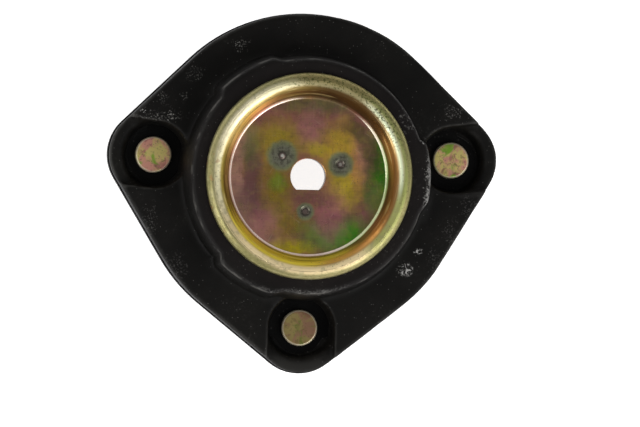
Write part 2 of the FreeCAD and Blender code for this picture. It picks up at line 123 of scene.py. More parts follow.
floor_height = cad_box[0].z
floor_reach = 3.0
floor_glow = 0.78
floor_mesh = bpy.data.meshes.new("studio_floor")
floor_mesh.from_pydata(
    [(x * floor_reach, y * floor_reach, floor_height) for x, y in ((-1, -1), (1, -1), (1, 1), (-1, 1))],
    [], [(0, 1, 2, 3)])
floor = bpy.data.objects.new("studio_floor", floor_mesh)
scene.collection.objects.link(floor)
floor_paint, make = new_material("floor_white")
rays = make("ShaderNodeLightPath")
seen = make("ShaderNodeMath", {0: rays.outputs["Is Camera Ray"], 1: rays.outputs["Is Glossy Ray"]},
            operation="MAXIMUM")
seen = make("ShaderNodeMath", {0: seen.outputs[0], 1: rays.outputs["Is Transmission Ray"]},
            operation="MAXIMUM")
lift = make("ShaderNodeMath", {0: seen.outputs[0], 1: floor_glow}, operation="MULTIPLY")
matt = make("ShaderNodeBsdfDiffuse", {"Color": (0.86, 0.86, 0.86, 1)})
glow = make("ShaderNodeEmission", {"Color": (1, 1, 1, 1), "Strength": lift.outputs[0]})
both = make("ShaderNodeAddShader", {0: matt.outputs[0], 1: glow.outputs[0]})
floor_mesh.materials.append(show(make, both.outputs[0], floor_paint))

# the room is lighter low down than overhead, most of all in front of the part
world = bpy.data.worlds.new("studio")
world.use_nodes = True
world.node_tree.nodes.clear()
make = node_maker(world.node_tree)
rays = make("ShaderNodeLightPath")
towards = make("ShaderNodeSeparateXYZ", {0: make("ShaderNodeTexCoord").outputs["Generated"]}).outputs
low = make("ShaderNodeMapRange", {"Value": towards["Z"], "From Min": 0.85, "From Max": 0.3},
           interpolation_type="SMOOTHSTEP").outputs["Result"]
front = make("ShaderNodeMapRange", {"Value": towards["Y"], "From Min": 0.7, "From Max": -0.6,
                                    "To Min": 0.15, "To Max": 0.47},
             interpolation_type="SMOOTHSTEP").outputs["Result"]
walls = make("ShaderNodeMath", {0: low, 1: front, 2: 0.28}, operation="MULTIPLY_ADD")
room = make("ShaderNodeBackground", {"Color": (1, 1, 1, 1), "Strength": walls.outputs[0]})
white = make("ShaderNodeBackground", {"Color": (1, 1, 1, 1), "Strength": 1.0})
pick = make("ShaderNodeMixShader", {0: rays.outputs["Is Camera Ray"], 1: room.outputs[0],
                                    2: white.outputs[0]})
make("ShaderNodeOutputWorld", {"Surface": pick.outputs[0]})
scene.world = world

for name, place, size, watts in (
    ("right_lamp", (0.85, -0.80, 1.0), 1.2, 12.0),
    ("left_lamp", (-1.1, -0.50, 0.9), 0.9, 8.0),
    ("far_lamp", (-0.9, 0.8, 0.35), 0.5, 1.5),
):
    lamp_data = bpy.data.lights.new(name, "AREA")
    lamp_data.shape = "DISK"
    lamp_data.size = size
    lamp_data.energy = watts
    lamp = bpy.data.objects.new(name, lamp_data)
    scene.collection.objects.link(lamp)
    lamp.location = place
    lamp.rotation_mode = "QUATERNION"
    lamp.rotation_quaternion = Vector(place).to_track_quat("Z", "Y")


# Rubber body: one black moulding with a seat flange, a collar with three grip lobes and three
# pockets, bonded round the steel plate. Its edges are soft, its faces a little wavy, and it is
# scuffed and dusty from storage.
MM = 0.001
rubber_voxel = 0.72 * MM
rubber_near = 0.3 * MM
collar_height = 15 * MM
collar_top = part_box("rubber_body")[1].z
seat = collar_top - collar_height
collar_inside = 38 * MM
collar_radius = 41.2 * MM
collar_lean = 3.0 / 23.6
collar_round = 1.4 * MM
lobe_height = 1.9 * MM
lobe_half = 19.0
land = seat - 2.8 * MM
well_floor = seat - 8.6 * MM
well_slope = (10.0 * MM, 12.9 * MM)
well_half = 12.2 * MM
well_oval = 0.9
well_roll = 0.92
pockets_from = 45 * MM
rubber_wave = 0.10 * MM
rubber_wave_size = 9 * MM
rubber_pebble = 0.03 * MM
rubber_pebble_size = 2.2 * MM
stud_names = ("stud_left", "stud_right", "stud_lower")
# each grip lobe's direction, and over how many degrees it runs out before and after it
lobes = ((0.8, 9.0, 4.0), (120.8, 7.0, 4.5), (240.8, 4.5, 8.0))


def closed_copy(node, name):
    """A mesh of a solid's node with its loose triangles joined."""
    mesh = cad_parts[node].data.copy()
    mesh.name = name
    mesh.materials.clear()
    work = bmesh.new()
    work.from_mesh(mesh)
    bmesh.ops.remove_doubles(work, verts=work.verts, dist=1e-6)
    work.to_mesh(mesh)
    work.free()
    return mesh


def new_piece(name, mesh):
    piece = bpy.data.objects.new(name, mesh)
    scene.collection.objects.link(piece)
    return piece


def settle(piece, replaced):
    """Fixes a finished piece to the part's one body, in place of a solid's node."""
    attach(piece, "root")
    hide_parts(replaced)


def baked(piece):
    """Turns a piece's modifiers into plain mesh."""
    shown = piece.evaluated_get(bpy.context.evaluated_depsgraph_get())
    mesh = bpy.data.meshes.new_from_object(shown)
    piece.modifiers.clear()
    piece.data = mesh
    return mesh


def collar_reach(turn, z):
    """The collar's radius: it leans, its top edge is round, and its grip lobes run out softly."""
    share = 0.0
    for middle, fade_before, fade_after in lobes:
        off = (turn - middle + 180) % 360 - 180
        inside = (lobe_half - abs(off)) / (fade_before if off < 0 else fade_after)
        share = max(share, min(1.0, inside))
    reach = collar_radius + (collar_top - z) * collar_lean
    reach += lobe_height * share * share * (3 - 2 * share)
    above = max(0.0, z - collar_top + collar_round)
    return reach - (collar_round - math.sqrt(max(0.0, collar_round ** 2 - above ** 2)))


def pocket_floor(spot, x, y):
    """The rubber's height where the land rolls over into the deep well round a stud."""
    out = Vector((spot.x, spot.y)).normalized()
    way = Vector((x - spot.x, y - spot.y))
    along, across = way.dot(out), way.dot(Vector((-out.y, out.x)))
    reach = math.hypot(along, across * well_oval)
    if along <= -rubber_near or abs(across) >= well_half or reach >= well_slope[1]:
        return math.inf
    share = (well_slope[1] - reach) / (well_slope[1] - well_slope[0])
    if share >= 1.0:
        return well_floor
    return land + (well_floor - land) * (1.0 - math.sqrt(1.0 - share * share)) * well_roll


rubber = new_piece("rubber_moulding", closed_copy("rubber_body", "rubber_moulding"))
remesh = rubber.modifiers.new("even", "REMESH")
remesh.mode = "VOXEL"
remesh.voxel_size = rubber_voxel
rubber_mesh = baked(rubber)
stud_spots = [(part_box(name)[0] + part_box(name)[1]) / 2 for name in stud_names]
for vertex in rubber_mesh.vertices:
    x, y, z = vertex.co
    radius, turn = math.hypot(x, y), math.degrees(math.atan2(y, x))
    if z > seat + rubber_near and radius > collar_inside:
        reach = collar_reach(turn, z)
        if radius > reach:
            vertex.co.x, vertex.co.y = x * reach / radius, y * reach / radius
    if well_floor < z < land + rubber_near and radius > pockets_from:
        vertex.co.z = min(z, *(pocket_floor(spot, x, y) for spot in stud_spots))
soften = rubber.modifiers.new("soften", "SMOOTH")
soften.factor = 0.5
soften.iterations = 3
rubber_mesh = baked(rubber)
for vertex, normal in zip(rubber_mesh.vertices, [n.vector.copy() for n in rubber_mesh.vertex_normals]):
    wave = noise.noise(vertex.co / rubber_wave_size)
    pebble = noise.noise(vertex.co / rubber_pebble_size)
    vertex.co += normal * (wave * rubber_wave + pebble * rubber_pebble)
rubber_mesh.shade_smooth()


# The rubber's skin. Its scuffs and dust are soft ragged patches and scattered specks, which the
# chromate has too.
def math_node(make, operation, first, second=0.0, third=0.0):
    return make("ShaderNodeMath", {0: first, 1: second, 2: third}, operation=operation).outputs[0]


def times(make, first, second):
    return math_node(make, "MULTIPLY", first, second)


def vector_node(make, operation, first, second=(0, 0, 0), third=(0, 0, 0)):
    return make("ShaderNodeVectorMath", {0: first, 1: second, 2: third}, operation=operation)


def off_axis(make, place):
    """A place without its height, and its distance from the rod's axis."""
    flat = vector_node(make, "MULTIPLY", place, (1, 1, 0)).outputs[0]
    return flat, vector_node(make, "LENGTH", flat).outputs["Value"]


def ramp(make, value, low, high):
    """0 below low, 1 above high, smooth between."""
    return make("ShaderNodeMapRange", {"Value": value, "From Min": low, "From Max": high},
                interpolation_type="SMOOTHSTEP").outputs["Result"]


def clouds(make, place, scale, detail=2.0, roughness=0.5, distortion=0.0):
    """A drifting value between 0 and 1."""
    return make("ShaderNodeTexNoise", {"Vector": place, "Scale": scale, "Detail": detail,
                                       "Roughness": roughness, "Distortion": distortion}).outputs[0]


def paint_over(make, under, colour, mask, strength=1.0):
    """Lays a colour over another one, where the mask is."""
    if strength != 1.0:
        mask = times(make, mask, strength)
    return make("ShaderNodeMix", {0: mask, 6: under, 7: colour}, data_type="RGBA").outputs[2]


def new_group(name, inputs):
    """A group of nodes that gives a mask; a triple among its inputs is a place, a number a value."""
    tree = bpy.data.node_groups.new(name, "ShaderNodeTree")
    for socket, value in inputs.items():
        kind = "NodeSocketVector" if isinstance(value, tuple) else "NodeSocketFloat"
        tree.interface.new_socket(socket, in_out="INPUT", socket_type=kind).default_value = value
    tree.interface.new_socket("Mask", in_out="OUTPUT", socket_type="NodeSocketFloat")
    make = node_maker(tree)
    return tree, make, make("NodeGroupInput").outputs


patch_edge = 0.85
patch_tree, make, given = new_group("soft_patch", {
    "Place": (0.0, 0.0, 0.0), "Centre": (0.0, 0.0, 0.0), "Stretch": (1.0, 1.0, 1.0),
    "Size": 5 * MM, "Ragged": 0.5, "Grain": 300.0, "Soft": 0.3})
offset = vector_node(make, "SUBTRACT", given["Place"], given["Centre"]).outputs[0]
offset = vector_node(make, "MULTIPLY", offset, given["Stretch"]).outputs[0]
away = vector_node(make, "LENGTH", offset).outputs["Value"]
share = math_node(make, "DIVIDE", away, given["Size"])
rough = clouds(make, given["Place"], given["Grain"], 4.0)
swing = times(make, math_node(make, "SUBTRACT", rough, 0.5), given["Ragged"])
reach = math_node(make, "ADD", share, times(make, swing, 3.0))
outside = math_node(make, "ADD", patch_edge, given["Soft"])
inside = math_node(make, "SUBTRACT", patch_edge, given["Soft"])
make("NodeGroupOutput", {"Mask": ramp(make, reach, outside, inside)})

speck_tree, make, given = new_group("fine_specks", {
    "Place": (0.0, 0.0, 0.0), "Grain": 900.0, "Amount": 0.2, "Clumps": 60.0})
dots = make("ShaderNodeTexVoronoi", {"Vector": given["Place"], "Scale": given["Grain"]})
small = make("ShaderNodeMapRange", {"Value": dots.outputs["Distance"], "From Min": 0.28,
                                    "From Max": 0.1}).outputs["Result"]
lot = make("ShaderNodeSeparateColor", {0: dots.outputs["Color"]}).outputs[0]
crowd = clouds(make, given["Place"], given["Clumps"], 3.0)
limit = times(make, given["Amount"], times(make, crowd, crowd))
chosen = math_node(make, "LESS_THAN", lot, times(make, limit, 3.0))
make("NodeGroupOutput", {"Mask": times(make, chosen, small)})


def patch(make, place, centre, size, stretch=(1, 1, 1), ragged=0.4, grain=300.0, soft=0.3):
    """A patch's mask; its centre and size are in millimetres, and a stretch above 1 narrows it."""
    return make("ShaderNodeGroup", {
        "Place": place, "Centre": [v * MM for v in centre], "Stretch": stretch, "Size": size * MM,
        "Ragged": ragged, "Grain": grain, "Soft": soft}, node_tree=patch_tree).outputs[0]


def specks(make, place, grain, amount, clumps):
    return make("ShaderNodeGroup", {"Place": place, "Grain": grain, "Amount": amount, "Clumps": clumps},
                node_tree=speck_tree).outputs[0]


rubber_skin, make = new_material("moulded_rubber")
place = make("ShaderNodeTexCoord").outputs["Object"]
height = make("ShaderNodeSeparateXYZ", {0: place}).outputs["Z"]
radius = off_axis(make, place)[1]
edge = make("ShaderNodeNewGeometry").outputs["Pointiness"]
blotch = clouds(make, place, 45.0, 5.0, 0.6)
fine = clouds(make, place, 900.0, 3.0)
gravel = clouds(make, place, 1500.0, 5.0, 0.65)
flakes = clouds(make, place, 1150.0, 3.0, distortion=0.8)
tone = paint_over(make, (0.0032, 0.0029, 0.0024, 1), (0.0068, 0.0062, 0.0052, 1),
                  ramp(make, blotch, 0.35, 0.7))
bloom = patch(make, place, (0, 0, 3), 44, stretch=(1, 1, 3), ragged=0.08)
tone = paint_over(make, tone, (0.018, 0.012, 0.013, 1), bloom, 0.5)
# edges rubbed pale, and a broken pale line round the collar's rim that is partly wear and partly a painted
# highlight on its outer edge
worn = times(make, ramp(make, edge, 0.515, 0.56), ramp(make, blotch, 0.38, 0.6))
tone = paint_over(make, tone, (0.10, 0.097, 0.09, 1), worn, 0.5)
rim_line_highlight = times(make, ramp(make, height, 0.0, 0.7 * MM), ramp(make, height, 2.6 * MM, 1.9 * MM))
rim_line_highlight = times(make, rim_line_highlight, ramp(make, radius, 40.4 * MM, 41.0 * MM))
broken = ramp(make, clouds(make, place, 190.0, 4.0), 0.40, 0.62)
tone = paint_over(make, tone, (0.12, 0.115, 0.105, 1), times(make, rim_line_highlight, broken), 0.6)
low_tip = patch(make, place, (0, -66.5, -15), 8.0, (0.7, 1.2, 1), 0.3)
tone = paint_over(make, tone, (0.022, 0.021, 0.019, 1), low_tip, 0.8)
# dust: specks all over, a thin haze, and gritty scuffs, each with its middle in millimetres, its
# size, its stretch and its strength
dust = specks(make, place, 1500.0, 0.10, 45.0)
tone = paint_over(make, tone, (0.16, 0.155, 0.145, 1), dust, 0.6)
haze = times(make, ramp(make, fine, 0.5, 0.75), ramp(make, blotch, 0.5, 0.72))
tone = paint_over(make, tone, (0.045, 0.043, 0.039, 1), haze, 0.35)
for centre, size, stretch, strength in (
    ((-51.5, 20.3, -12), 5.0, (0.7, 2.6, 1), 0.4),
    ((-47.5, 20.5, -12), 2.4, (1.2, 1.0, 1), 0.8),
    ((42.6, -4.5, 1), 6.5, (3.6, 0.6, 1), 0.8),
    ((41.5, -14.0, 1), 4.0, (1.6, 1.0, 1), 0.6),
    ((36.0, 20.5, 1), 5.0, (1.3, 1.0, 1), 0.35),
    ((36.7, -32.3, -12), 2.8, (1, 1, 1), 0.5),
    ((-24.0, 45.5, -12), 3.0, (1, 1.2, 1), 0.5),
    ((-50.0, 36.0, -12), 2.0, (1, 1.2, 1), 0.5),
    ((3.0, -42.0, 3), 7.0, (0.7, 3.2, 1), 0.35),
    ((52.0, 24.0, -12), 4.0, (1, 1.5, 1), 0.3),
    ((58.5, -10.0, -12), 2.6, (1, 0.5, 1), 0.16),
    ((53.0, -19.0, -12), 2.8, (1, 0.5, 1), 0.14),
    ((47.0, -28.5, -12), 3.0, (1, 0.7, 1), 0.16),
    ((-54.5, -17.0, -12), 2.8, (1, 0.5, 1), 0.16),
    ((-45.0, -34.0, -12), 4.2, (1, 0.7, 1), 0.13),
    ((-39.8, 35.5, -12), 2.6, (0.8, 1, 1), 0.22),
    ((-50.5, 27.0, -12), 1.8, (1, 0.7, 1), 0.25),
    ((-43.0, 27.3, -12), 1.6, (1, 0.8, 1), 0.25),
):
    scuff = patch(make, place, centre, size, stretch, ragged=1.0, grain=520.0)
    gritty = times(make, scuff, ramp(make, gravel, 0.52, 0.64))
    tone = paint_over(make, tone, (0.34, 0.33, 0.31, 1), gritty, strength)
# flaked streaks on the right lobe's edge and the collar's lower edge, and small pale marks
right_streak = patch(make, place, (43, -6, 1), 9, (3, 0.6, 1), 0.3)
lower_streak = times(make, patch(make, place, (-5, -42, 1), 14, (0.6, 2.5, 1), 0.6), 0.22)
streaks = math_node(make, "MAXIMUM", right_streak, lower_streak)
rubbed = times(make, ramp(make, edge, 0.505, 0.54), streaks)
tone = paint_over(make, tone, (0.42, 0.41, 0.39, 1), times(make, rubbed, ramp(make, flakes, 0.42, 0.6)), 0.75)
for centre, size, stretch in (
    ((36.9, -32.2, -12), 2.3, (1, 1, 1)),
    ((41.0, -25.8, -12), 1.5, (0.8, 1.4, 1)),
    ((-56.8, 22.3, -12), 1.5, (0.8, 1.6, 1)),
    ((43.0, -10.5, 1), 2.2, (2, 1, 1)),
    ((41.0, -16.5, 1), 1.9, (1, 1, 1)),
    ((40.0, 12.8, 1), 1.8, (1.3, 1, 1)),
    ((29.5, 53.5, -12), 1.0, (1, 2, 1)),
):
    mark = times(make, patch(make, place, centre, size, stretch, 0.5, 500.0), ramp(make, flakes, 0.52, 0.60))
    tone = paint_over(make, tone, (0.50, 0.49, 0.47, 1), mark, 0.9)
flank = patch(make, place, (58.0, -4.6, -13.5), 3.5, (0.28, 1.6, 0.8), 0.2)
tone = paint_over(make, tone, (0.022, 0.021, 0.020, 1), flank, 0.5)
# painted shade: the deep wells darkened to near black, standing in for their shadow
for centre, size, stretch in (
    ((-54.1, 7.8, -16), 12.8, (1, 1, 1)),
    ((51.6, 6.1, -16), 13.6, (0.93, 1, 1)),
    ((-2.9, -52.9, -16), 12.8, (1, 1, 1)),
):
    well_shade = times(make, patch(make, place, centre, size, stretch, 0.12, 300.0, 0.16),
                   ramp(make, height, -12.0 * MM, -14.5 * MM))
    tone = paint_over(make, tone, (0.0006, 0.0006, 0.0006, 1), well_shade, 0.93)
sheen = make("ShaderNodeMapRange", {"Value": blotch, "From Min": 0.3, "From Max": 0.7,
                                    "To Min": 0.5, "To Max": 0.72}).outputs["Result"]
grain = clouds(make, place, 1600.0, 4.0)
ripple = make("ShaderNodeBump", {"Height": grain, "Strength": 0.35, "Distance": 0.08 * MM})
skin = make("ShaderNodeBsdfPrincipled", {"Base Color": tone, "Roughness": sheen,
                                         "Specular IOR Level": 0.12, "Normal": ripple.outputs[0]})
rubber_mesh.materials.clear()
rubber_mesh.materials.append(show(make, skin.outputs[0], rubber_skin))
settle(rubber, "rubber_body")


# Mounting plate: stamped steel under the rubber, with a drawn hat inside the collar. It has a black
# baked coat, with a little rust and dust on it.
coat, make = new_material("plate_coat")
place = make("ShaderNodeTexCoord").outputs["Object"]
blotch = clouds(make, place, 70.0, 6.0)
tone = paint_over(make, (0.0010, 0.0010, 0.0010, 1), (0.0030, 0.0028, 0.0026, 1),
                  ramp(make, blotch, 0.4, 0.65))
tone = paint_over(make, tone, (0.030, 0.015, 0.009, 1), ramp(make, blotch, 0.66, 0.72), 0.5)
tone = paint_over(make, tone, (0.05, 0.048, 0.046, 1), specks(make, place, 700.0, 0.2, 50.0), 0.5)
sheen = make("ShaderNodeMapRange", {"Value": blotch, "To Min": 0.3, "To Max": 0.55}).outputs["Result"]
skin = make("ShaderNodeBsdfPrincipled", {"Base Color": tone, "Specular IOR Level": 0.08, "Roughness": sheen})
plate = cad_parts["mounting_plate"]
plate.data.materials.clear()
plate.data.materials.append(show(make, skin.outputs[0], coat))


# Lower pan: drawn from one steel sheet and yellow chromated, with a flat floor, a leaning wall and a
# rolled rim whose edge is turned down. Three welds from behind leave two dimples, a raised spot and
# grey burnt rings.
pan_sheet = 2.2 * MM
pan_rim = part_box("lower_pan")[1].x
pan_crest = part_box("lower_pan")[1].z
crest_width = 5.4 * MM
wall_run = 3.8 * MM
rim_drop = 3.4 * MM
rim_rough = 0.05 * MM
pan_wall_top = pan_rim - crest_width
pan_floor = pan_wall_top - wall_run
rim_edge = pan_crest - rim_drop
hole_radius = 6.25 * MM
hole_flat = 4.7 * MM
pan_segments = 400
morph_radius = 9.0 * MM
weld_radius = 12.1 * MM
# each weld's direction, its dent, and the height of the collar round it in millimetres
welds = ((22.0, 0.40, 0.04), (143.0, -0.22, 0.05), (266.0, 0.40, 0.06))


def rounded(corners, step=0.25 * MM):
    """A profile of (radius, height) points; a corner with a third number is rounded by it."""
    line = []
    for i, corner in enumerate(corners):
        here = np.array(corner[:2], float)
        if len(corner) < 3:
            line.append(here)
            continue
        back = np.array(corners[i - 1][:2], float) - here
        ahead = np.array(corners[(i + 1) % len(corners)][:2], float) - here
        back, ahead = back / np.linalg.norm(back), ahead / np.linalg.norm(ahead)
        half = math.acos(max(-1.0, min(1.0, float(back @ ahead)))) / 2
        reach = corner[2] / math.tan(half)
        middle = (back + ahead) / np.linalg.norm(back + ahead)
        centre = here + middle * corner[2] / math.sin(half)
        first, last = here + back * reach - centre, here + ahead * reach - centre
        start = math.atan2(first[1], first[0])
        turn = (math.atan2(last[1], last[0]) - start + math.pi) % (2 * math.pi) - math.pi
        count = max(3, int(abs(turn) * corner[2] / step) + 1)
        for k in range(count + 1):
            angle = start + turn * k / count
            line.append(centre + corner[2] * np.array((math.cos(angle), math.sin(angle))))
    return line


def divided(line, longest, fine=None, within=0.0):
    """Adds points on the long runs of a profile, more of them on the front inside a radius."""
    made = [line[0]]
    for a, b in zip(line, line[1:]):
        close = fine and min(a[1], b[1]) > -0.1 * MM and min(a[0], b[0]) < within
        count = max(1, int(np.linalg.norm(b - a) / (fine if close else longest) + 0.5))
        made += [a + (b - a) * k / count for k in range(1, count + 1)]
    return made


def ring_faces(rings, segments, closed):
    """Quads between rings of vertices, numbered ring by ring."""
    faces = []
    for i in range(rings if closed else rings - 1):
        a, b = i * segments, (i + 1) % rings * segments
        for k in range(segments):
            n = (k + 1) % segments
            faces.append((a + k, a + n, b + n, b + k))
    return faces


def faced_out(mesh):
    """Joins doubles and turns every face outwards."""
    work = bmesh.new()
    work.from_mesh(mesh)
    bmesh.ops.remove_doubles(work, verts=work.verts, dist=2e-6)
    bmesh.ops.recalc_face_normals(work, faces=work.faces)
    work.to_mesh(mesh)
    work.free()
    mesh.shade_smooth()
    return mesh


# the sheet keeps its thickness on the leaning wall, so the back's corners move along by this much
back_shift = pan_sheet * math.tan(math.atan2(pan_crest, wall_run) / 2)
pan_profile = rounded([
    (hole_radius, 0),
    (pan_floor + 0.45 * MM, 0, 0.9 * MM),
    (pan_wall_top, pan_crest, 4.4 * MM),
    (pan_rim, pan_crest, 2.8 * MM),
    (pan_rim, rim_edge, 0.35 * MM),
    (pan_rim - pan_sheet, rim_edge, 0.3 * MM),
    (pan_rim - pan_sheet, pan_crest - pan_sheet, 0.6 * MM),
    (pan_wall_top + back_shift, pan_crest - pan_sheet, 2.2 * MM),
    (pan_floor + back_shift, -pan_sheet, 3.7 * MM),
    (hole_radius, -pan_sheet),
])
pan_line = divided(pan_profile, 0.8 * MM, 0.26 * MM, pan_floor)
pan_line.append(np.array((hole_radius, -pan_sheet / 2)))
angles = np.arange(pan_segments) * 2 * math.pi / pan_segments
cosine, sine = np.cos(angles), np.sin(angles)
hole = np.where(sine * hole_radius < -hole_flat, -hole_flat / np.minimum(sine, -1e-6), hole_radius)
rings = []
for radius, height in pan_line:
    inside = max(0.0, (morph_radius - radius) / (morph_radius - hole_radius))
    reach = radius + (hole - hole_radius) * inside
    wobble = 0.10 * MM * np.sin(2 * angles + 0.7) + 0.05 * MM * np.sin(5 * angles)
    reach = reach + wobble * min(1.0, max(0.0, (radius - pan_floor) / (pan_rim - pan_floor)))
    rings.append(np.stack([reach * cosine, reach * sine, np.full(pan_segments, height)], 1))
points = np.concatenate(rings)
on_floor = (points[:, 2] > -0.01 * MM) & (np.hypot(points[:, 0], points[:, 1]) < pan_floor - 1.6 * MM)
for turn, dent, ring in welds:
    centre = weld_radius * np.array((math.cos(math.radians(turn)), math.sin(math.radians(turn))))
    away = np.hypot(points[:, 0] - centre[0], points[:, 1] - centre[1]) / MM
    pit = np.clip((1.55 - away) / 0.45, 0, 1)
    collar = np.exp(-((away - 2.1) / 0.5) ** 2)
    sunk = np.exp(-(away / 4.2) ** 4) * 0.08
    shape = -dent * pit * pit * (3 - 2 * pit) + ring * collar - sunk
    points[:, 2] += np.where(on_floor, shape * MM, 0)
pan_mesh = bpy.data.meshes.new("lower_pan_pressing")
pan_mesh.from_pydata(points.tolist(), [], ring_faces(len(pan_line), pan_segments, True))
faced_out(pan_mesh)
for vertex, normal in zip(pan_mesh.vertices, [n.vector.copy() for n in pan_mesh.vertex_normals]):
    high = max(0.0, min(1.0, (vertex.co.z - 0.6 * MM) / (4 * MM)))
    vertex.co += normal * noise.noise(vertex.co / (1.1 * MM)) * rim_rough * high * 0.5
pan = new_piece("lower_pan_pressing", pan_mesh)


# Yellow chromate over zinc, which the upper dish and the studs have too: metal with a thin film
# that runs from pale gold-green through mauve to olive.
def chromate(name, film, gloss):
    """A chromated metal; film gives its colour, its matt areas and its worn spots from a place."""
    material, make = new_material(name)
    place = make("ShaderNodeTexCoord").outputs["Object"]
    tone, matt, worn = film(make, place)
    fine = clouds(make, place, 700.0, 4.0)
    uneven = clouds(make, place, 110.0, 5.0)
    sheen = make("ShaderNodeMapRange", {"Value": uneven, "From Min": 0.3, "From Max": 0.7,
                                        "To Min": gloss, "To Max": gloss + 0.16}).outputs["Result"]
    sheen = math_node(make, "ADD", sheen, matt)
    grain = math_node(make, "ADD", times(make, uneven, 3.0), fine)
    ripple = make("ShaderNodeBump", {"Height": grain, "Strength": 0.22, "Distance": 0.12 * MM})
    bright = math_node(make, "MULTIPLY_ADD", worn, -0.85, 0.85)
    skin = make("ShaderNodeBsdfPrincipled", {"Base Color": tone, "Metallic": bright, "Roughness": sheen,
                                             "Normal": ripple.outputs[0]})
    return show(make, skin.outputs[0], material)


def shifted(make, place, seed):
    """The same place moved away, so that a second drift of clouds differs from the first."""
    return vector_node(make, "ADD", place, (seed, seed, seed)).outputs[0]


def cloudy(make, place, scale, low, high, first, second, seed=0.0):
    """Two colours in drifting clouds."""
    drift = clouds(make, shifted(make, place, seed), scale, 4.0, 0.55, 0.6)
    return paint_over(make, first, second, ramp(make, drift, low, high))


def sector(make, around, middle, half, fade=12.0):
    """1 within half an angle of a direction, in degrees, and fading out beyond it."""
    off = math_node(make, "WRAP", math_node(make, "SUBTRACT", around, math.radians(middle)),
                    math.pi, -math.pi)
    return ramp(make, math_node(make, "ABSOLUTE", off), math.radians(half + fade), math.radians(half))


def band(make, value, low, high, fade):
    """1 between two values."""
    return times(make, ramp(make, value, low - fade, low), ramp(make, value, high + fade, high))


